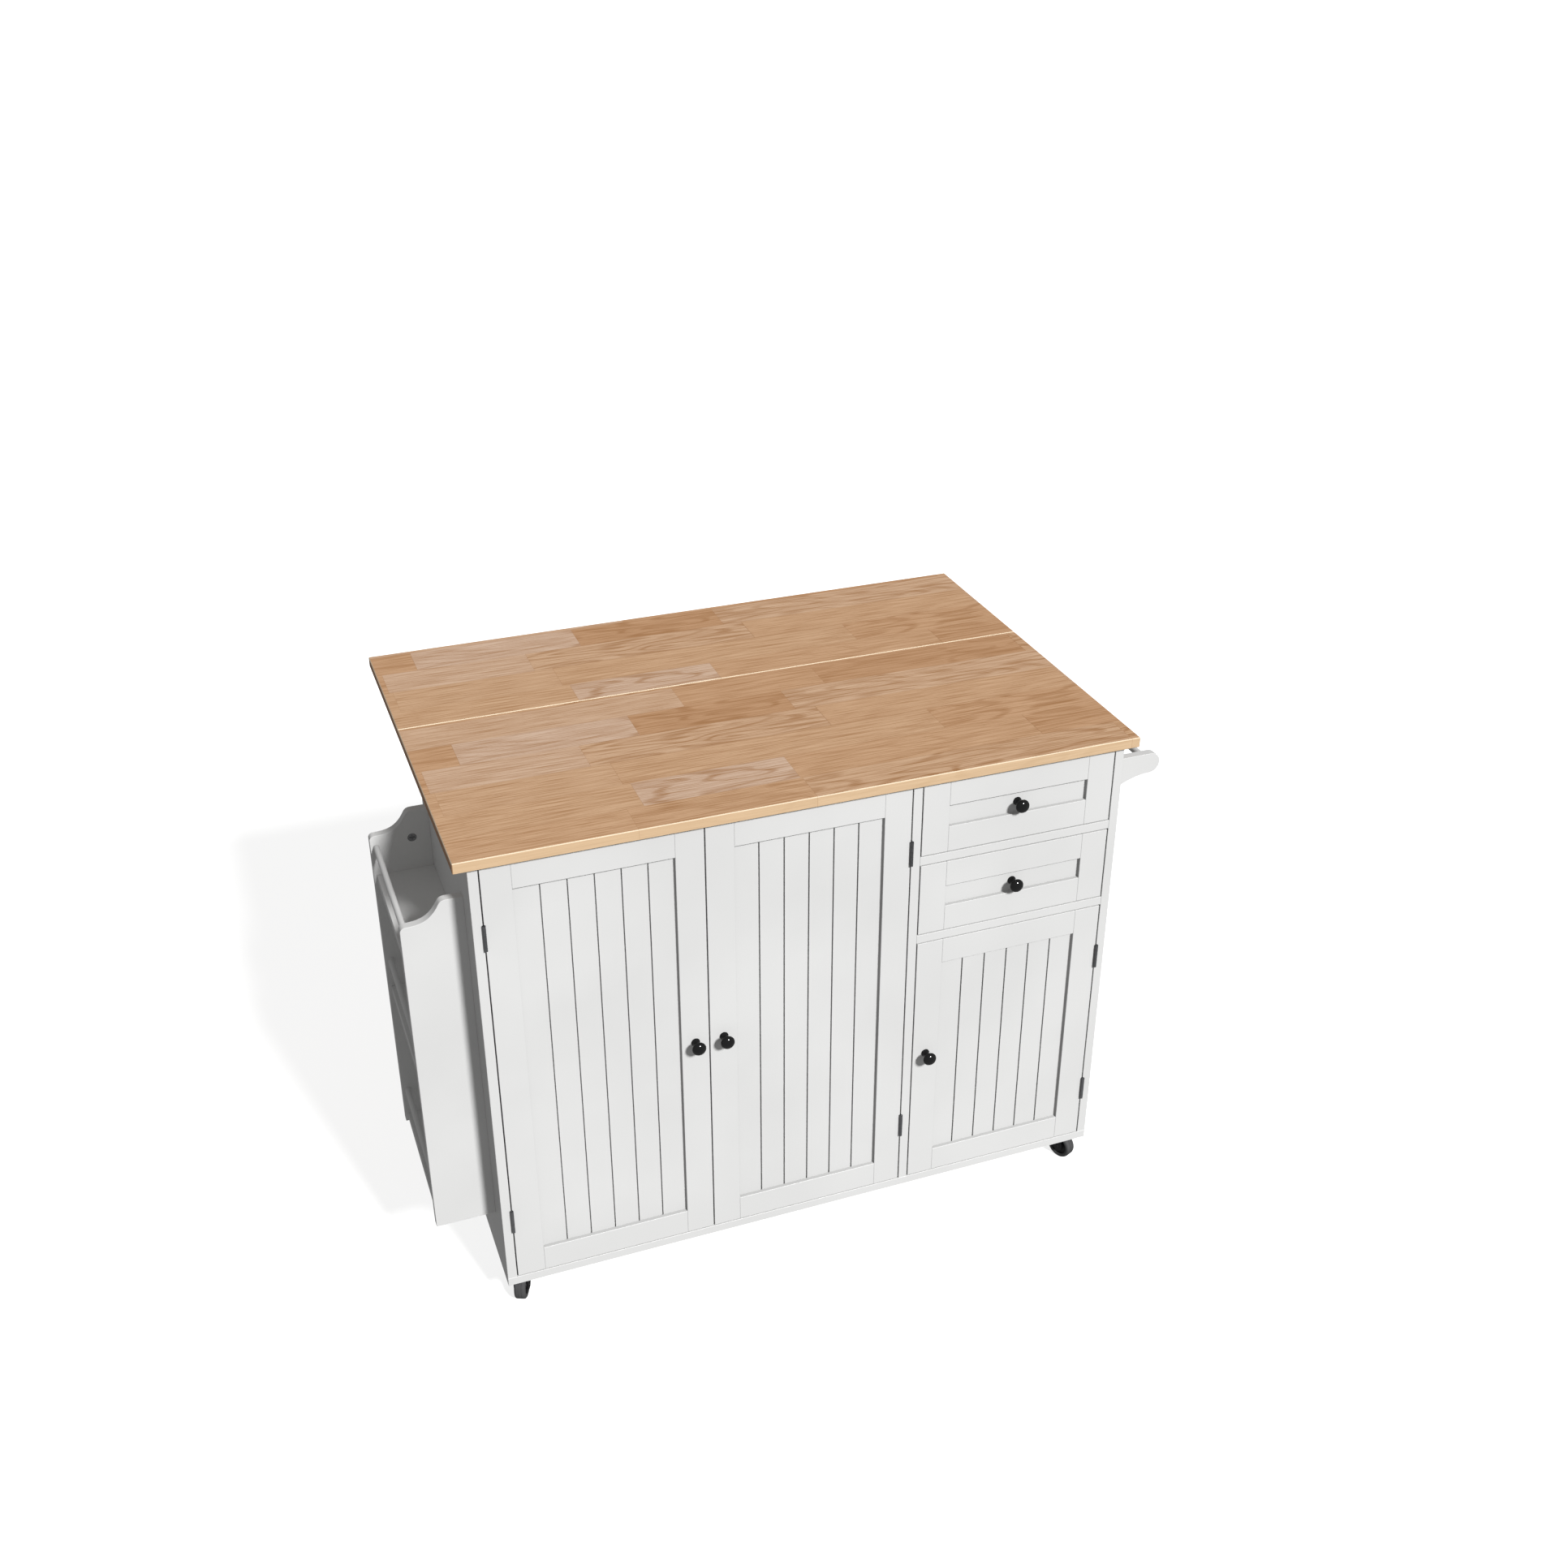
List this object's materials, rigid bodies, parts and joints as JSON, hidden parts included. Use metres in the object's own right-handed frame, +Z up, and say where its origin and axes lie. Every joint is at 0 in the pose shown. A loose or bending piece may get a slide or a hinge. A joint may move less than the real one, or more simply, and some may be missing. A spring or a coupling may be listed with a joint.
{
  "type": "kitchen island cart with drop leaf",
  "caption": "Rolling kitchen island with a butcher block top, a rear drop leaf, framed doors, drawers, a side spice rack and a towel bar on swivel casters.",
  "frame": {"origin": "on the floor under the middle of the whole object's box", "axes": "+X to the right seen from the doors, +Y to the back where the leaf folds, +Z up"},
  "size_m": [1.2955, 0.7886, 0.9145],
  "materials": {
    "white_paint": "satin lacquer on fibreboard",
    "butcher_block": "oiled solid wood",
    "black_enamel": "gloss",
    "zinc_steel": "zinc plated",
    "black_nylon": "matt moulded",
    "grey_rubber": "matt",
    "white_plastic": "matt moulded"
  },
  "bodies": {
    "cabinet": {"back_panel": "white_paint", "bottom_board": "white_paint", "caster_plates": "zinc_steel", "divider": "white_paint", "door_catches": "white_plastic", "door_hinge_case_halves": "zinc_steel", "drawer_case_runners": "zinc_steel", "drawer_rails": "white_paint", "fixed_top": "butcher_block", "leaf_hinge_fixed_halves": "zinc_steel", "rack_cam_locks": "zinc_steel", "rack_panel_front": "white_paint", "rack_panel_rear": "white_paint", "rack_rods": "white_paint", "rack_shelf_lower": "white_paint", "rack_shelf_middle": "white_paint", "rack_shelf_upper": "white_paint", "shelf_pins": "zinc_steel", "shelf_right": "white_paint", "shelves_left": "white_paint", "side_left": "white_paint", "side_right": "white_paint", "support_pins_and_screws": "zinc_steel", "support_wall_arms": "zinc_steel", "top_stretchers": "white_paint", "towel_bar": "white_paint", "towel_brackets": "white_paint"},
    "door_left": {"door_left_frame": "white_paint", "door_left_hardware": "zinc_steel", "door_left_knob": "black_enamel", "door_left_panel": "white_paint"},
    "door_middle": {"door_middle_frame": "white_paint", "door_middle_hardware": "zinc_steel", "door_middle_knob": "black_enamel", "door_middle_panel": "white_paint"},
    "door_right": {"door_right_frame": "white_paint", "door_right_hardware": "zinc_steel", "door_right_knob": "black_enamel", "door_right_panel": "white_paint"},
    "drawer_upper": {"drawer_upper_box": "white_paint", "drawer_upper_front": "white_paint", "drawer_upper_knob": "black_enamel", "drawer_upper_runners": "zinc_steel"},
    "drawer_lower": {"drawer_lower_box": "white_paint", "drawer_lower_front": "white_paint", "drawer_lower_knob": "black_enamel", "drawer_lower_runners": "zinc_steel"},
    "leaf": {"drop_leaf": "butcher_block", "leaf_hinge_moving_halves": "zinc_steel", "support_leaf_arms": "zinc_steel"},
    "braces": {"support_braces": "zinc_steel"},
    "fork_front_left": {"caster_fork_front_left": "black_nylon"},
    "wheel_front_left": {"caster_wheel_front_left": "grey_rubber"},
    "fork_front_right": {"caster_fork_front_right": "black_nylon"},
    "wheel_front_right": {"caster_wheel_front_right": "grey_rubber"},
    "fork_rear_left": {"caster_fork_rear_left": "black_nylon"},
    "wheel_rear_left": {"caster_wheel_rear_left": "grey_rubber"},
    "fork_rear_right": {"caster_fork_rear_right": "black_nylon"},
    "wheel_rear_right": {"caster_wheel_rear_right": "grey_rubber"}
  },
  "joints": [
    {"name": "door_left_hinge", "type": "hinge", "parent": "cabinet", "child": "door_left", "pos_m": [-0.52975, -0.36975, 0.486], "axis": [0, 0, -1], "range_deg": [0, 165]},
    {"name": "door_middle_hinge", "type": "hinge", "parent": "cabinet", "child": "door_middle", "pos_m": [0.17725, -0.36975, 0.486], "axis": [0, 0, 1], "range_deg": [0, 90]},
    {"name": "door_right_hinge", "type": "hinge", "parent": "cabinet", "child": "door_right", "pos_m": [0.54625, -0.36975, 0.3315], "axis": [0, 0, 1], "range_deg": [0, 165]},
    {"name": "drawer_upper_slide", "type": "slide", "parent": "cabinet", "child": "drawer_upper", "axis": [0, -1, 0], "range_m": [0, 0.26]},
    {"name": "drawer_lower_slide", "type": "slide", "parent": "cabinet", "child": "drawer_lower", "axis": [0, -1, 0], "range_m": [0, 0.26]},
    {"name": "leaf_hinge", "type": "hinge", "parent": "cabinet", "child": "leaf", "pos_m": [0.00825, 0.08425, 0.892], "axis": [-1, 0, 0], "range_deg": [0, 90]},
    {"name": "brace_pivot", "type": "hinge", "parent": "cabinet", "child": "braces", "pos_m": [0.00825, 0.05525, 0.782], "axis": [-1, 0, 0], "range_deg": [0, 118.73]},
    {"name": "front_left_swivel", "type": "hinge", "parent": "cabinet", "child": "fork_front_left", "pos_m": [-0.50875, -0.31175, 0.0575], "axis": [0, 0, 1], "continuous": true},
    {"name": "front_left_roll", "type": "hinge", "parent": "fork_front_left", "child": "wheel_front_left", "pos_m": [-0.51851, -0.33367, 0.025], "axis": [-0.9135, 0.4067, 0], "continuous": true},
    {"name": "front_right_swivel", "type": "hinge", "parent": "cabinet", "child": "fork_front_right", "pos_m": [0.52525, -0.31175, 0.0575], "axis": [0, 0, 1], "continuous": true},
    {"name": "front_right_roll", "type": "hinge", "parent": "fork_front_right", "child": "wheel_front_right", "pos_m": [0.53501, -0.33367, 0.025], "axis": [-0.9135, -0.4067, 0], "continuous": true},
    {"name": "rear_left_swivel", "type": "hinge", "parent": "cabinet", "child": "fork_rear_left", "pos_m": [-0.50875, -0.00975, 0.0575], "axis": [0, 0, 1], "continuous": true},
    {"name": "rear_left_roll", "type": "hinge", "parent": "fork_rear_left", "child": "wheel_rear_left", "pos_m": [-0.51851, 0.01218, 0.025], "axis": [0.9135, 0.4067, 0], "continuous": true},
    {"name": "rear_right_swivel", "type": "hinge", "parent": "cabinet", "child": "fork_rear_right", "pos_m": [0.52525, -0.00975, 0.0575], "axis": [0, 0, 1], "continuous": true},
    {"name": "rear_right_roll", "type": "hinge", "parent": "fork_rear_right", "child": "wheel_rear_right", "pos_m": [0.53501, 0.01218, 0.025], "axis": [0.9135, -0.4067, 0], "continuous": true}
  ],
  "couplings": [
    {"joint": "brace_pivot", "follows": "leaf_hinge", "ratio": 1.3192}
  ]
}
